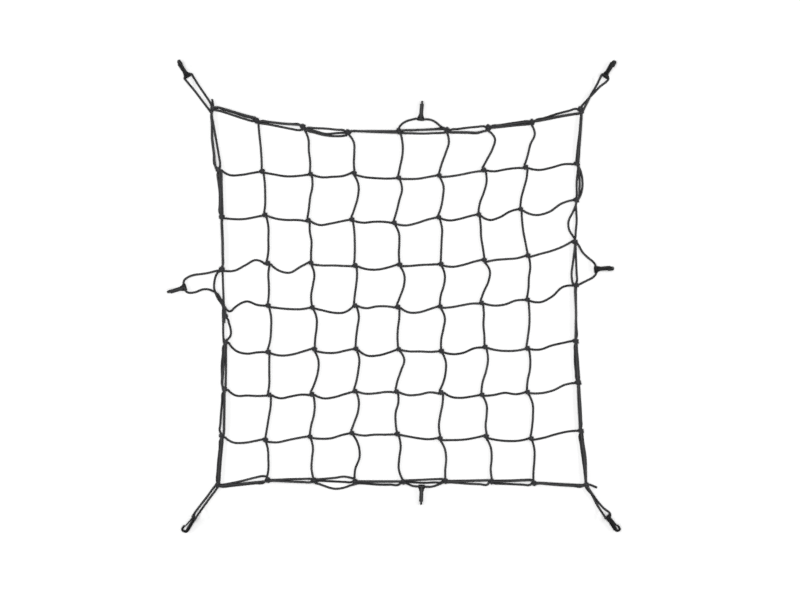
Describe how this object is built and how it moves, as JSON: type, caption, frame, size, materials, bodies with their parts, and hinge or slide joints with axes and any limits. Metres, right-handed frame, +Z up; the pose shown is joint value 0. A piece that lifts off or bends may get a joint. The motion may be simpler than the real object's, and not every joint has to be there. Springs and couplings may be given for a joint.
{
  "type": "elastic cargo net",
  "caption": "Square net of knotted elastic cord with moulded hooks at its corners and along its sides, stretched over a load and clipped to a rack, bed or trailer to hold it down.",
  "frame": {"origin": "centre of the bounding box, on the floor that the net lies on", "axes": "+Z up from the floor; +Y up the net, from the side nearer the viewer to the far side; +X across to the right"},
  "size_m": [0.9975, 1.0404, 0.0231],
  "materials": {
    "cord_sheath": "matte",
    "hook_nylon": "gloss"
  },
  "bodies": {
    "root": {"net": "cord_sheath", "hook_loop_corner_top_left": "cord_sheath", "hook_loop_corner_top_right": "cord_sheath", "hook_loop_corner_bottom_left": "cord_sheath", "hook_loop_corner_bottom_right": "cord_sheath", "hook_loop_side_top": "cord_sheath", "hook_loop_side_left": "cord_sheath", "hook_loop_side_right": "cord_sheath", "hook_loop_side_bottom": "cord_sheath", "hook_corner_top_left": "hook_nylon", "hook_corner_top_right": "hook_nylon", "hook_corner_bottom_left": "hook_nylon", "hook_corner_bottom_right": "hook_nylon", "hook_side_top": "hook_nylon", "hook_side_left": "hook_nylon", "hook_side_right": "hook_nylon", "hook_side_bottom": "hook_nylon"}
  },
  "joints": []
}
